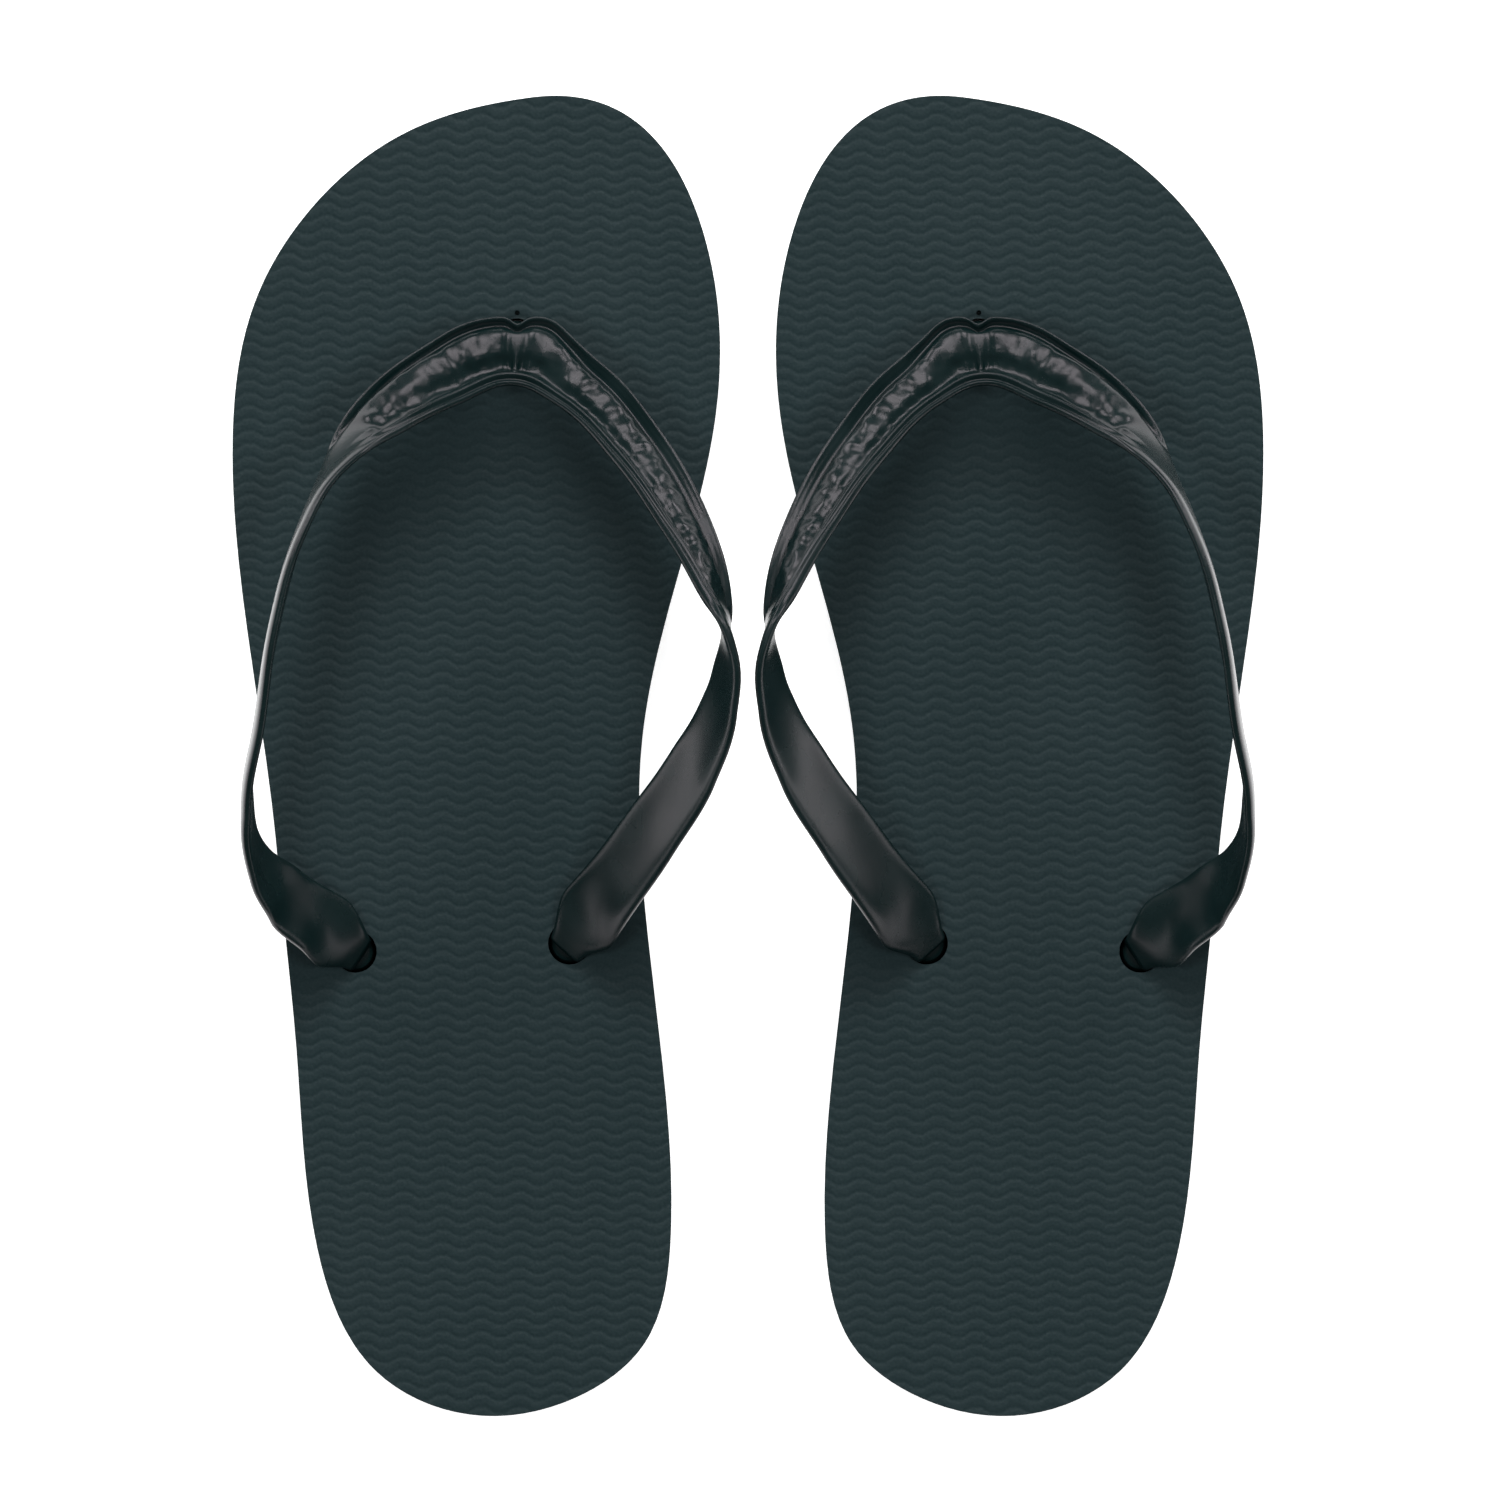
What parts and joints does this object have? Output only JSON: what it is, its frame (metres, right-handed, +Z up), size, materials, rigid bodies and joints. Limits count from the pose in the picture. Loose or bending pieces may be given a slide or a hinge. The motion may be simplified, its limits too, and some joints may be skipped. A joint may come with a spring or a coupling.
{
  "type": "flip flops",
  "caption": "Flat foam thong sandals with a finely ribbed footbed and a slim, twisting V-shaped strap held by a toe post and side plugs; the sole bends at the ball of the foot.",
  "frame": {"origin": "on the ground under the middle of the pair", "axes": "+Z up, +Y towards the toes, +X from the left shoe to the right shoe"},
  "size_m": [0.2032, 0.2603, 0.058],
  "materials": {
    "footbed_foam": "matte foam with fine moulded ripple",
    "outsole_foam": "matte foam, die-cut edge",
    "strap_rubber": "semi-gloss soft PVC"
  },
  "bodies": {
    "left_rear": {"left_footbed_rear": "footbed_foam", "left_outsole_rear": "outsole_foam", "left_strap_outer_arm": "strap_rubber", "left_strap_inner_arm": "strap_rubber", "left_outer_plug": "strap_rubber", "left_inner_plug": "strap_rubber"},
    "left_front": {"left_footbed_front": "footbed_foam", "left_outsole_front": "outsole_foam", "left_strap_vee": "strap_rubber", "left_toe_post": "strap_rubber", "left_toe_plug": "strap_rubber"},
    "right_rear": {"right_footbed_rear": "footbed_foam", "right_outsole_rear": "outsole_foam", "right_strap_outer_arm": "strap_rubber", "right_strap_inner_arm": "strap_rubber", "right_outer_plug": "strap_rubber", "right_inner_plug": "strap_rubber"},
    "right_front": {"right_footbed_front": "footbed_foam", "right_outsole_front": "outsole_foam", "right_strap_vee": "strap_rubber", "right_toe_post": "strap_rubber", "right_toe_plug": "strap_rubber"}
  },
  "joints": [
    {"name": "left_toe_flex", "type": "hinge", "parent": "left_rear", "child": "left_front", "pos_m": [-0.0555, 0.052, 0.015], "axis": [1, 0, 0], "range_deg": [0, 40], "stiffness_Nm_per_rad": 1.2, "deforming": ["left_strap_outer_arm", "left_strap_inner_arm"]},
    {"name": "right_shoe_apart", "type": "slide", "parent": "left_rear", "child": "right_rear", "axis": [1, 0, 0], "range_m": [0, 0.15]},
    {"name": "right_toe_flex", "type": "hinge", "parent": "right_rear", "child": "right_front", "pos_m": [0.0555, 0.052, 0.015], "axis": [1, 0, 0], "range_deg": [0, 40], "stiffness_Nm_per_rad": 1.2, "deforming": ["right_strap_outer_arm", "right_strap_inner_arm"]}
  ]
}
